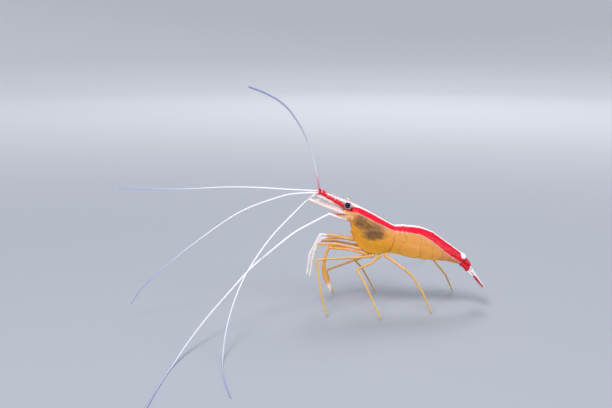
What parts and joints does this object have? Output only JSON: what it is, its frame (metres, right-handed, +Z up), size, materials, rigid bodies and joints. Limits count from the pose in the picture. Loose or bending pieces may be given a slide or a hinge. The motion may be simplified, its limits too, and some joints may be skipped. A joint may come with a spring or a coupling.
{
  "type": "cleaner shrimp",
  "caption": "Standing cleaner shrimp, a still life-size model with a jointed shell, slender legs, claws and long feelers.",
  "frame": {"origin": "middle of the whole animal's footprint, feelers included, at the level of the feet", "axes": "+Z up; the head points towards -X and the tail towards +X; the animal's left side faces -Y"},
  "size_m": [0.1056, 0.1412, 0.0658],
  "materials": {
    "shell": "translucent amber shell, glossy",
    "red": "scarlet shell, glossy",
    "white": "white, satin",
    "limb": "tan orange, satin",
    "eye": "black, glossy"
  },
  "bodies": {
    "root": {"abdomen_1": "red", "abdomen_2": "red", "abdomen_3": "red", "abdomen_4": "red", "abdomen_5": "red", "abdomen_6": "red", "antenna_base_left": "limb", "antenna_base_right": "limb", "antenna_left": "white", "antenna_right": "white", "antennal_scale_left": "white", "antennal_scale_right": "white", "antennule_inner_left": "white", "antennule_inner_right": "white", "antennule_left": "red", "antennule_outer_left": "white", "antennule_outer_right": "white", "antennule_right": "red", "carapace": "shell", "cheliped_1_left": "limb", "cheliped_1_right": "limb", "cheliped_2_left": "limb", "cheliped_2_right": "limb", "eye_left": "eye", "eye_right": "eye", "eyestalk_left": "limb", "eyestalk_right": "limb", "maxilliped_left": "white", "maxilliped_right": "white", "mouthparts": "limb", "pleopod_1_left": "limb", "pleopod_1_right": "limb", "pleopod_2_left": "limb", "pleopod_2_right": "limb", "pleopod_3_left": "limb", "pleopod_3_right": "limb", "pleopod_4_left": "limb", "pleopod_4_right": "limb", "pleopod_5_left": "limb", "pleopod_5_right": "limb", "sternum": "limb", "telson": "red", "uropod_base_left": "red", "uropod_base_right": "red", "uropod_inner_left": "red", "uropod_inner_right": "red", "uropod_outer_left": "red", "uropod_outer_right": "red", "walking_leg_3_left": "limb", "walking_leg_3_right": "limb", "walking_leg_4_left": "limb", "walking_leg_4_right": "limb", "walking_leg_5_left": "limb", "walking_leg_5_right": "limb"}
  },
  "joints": []
}
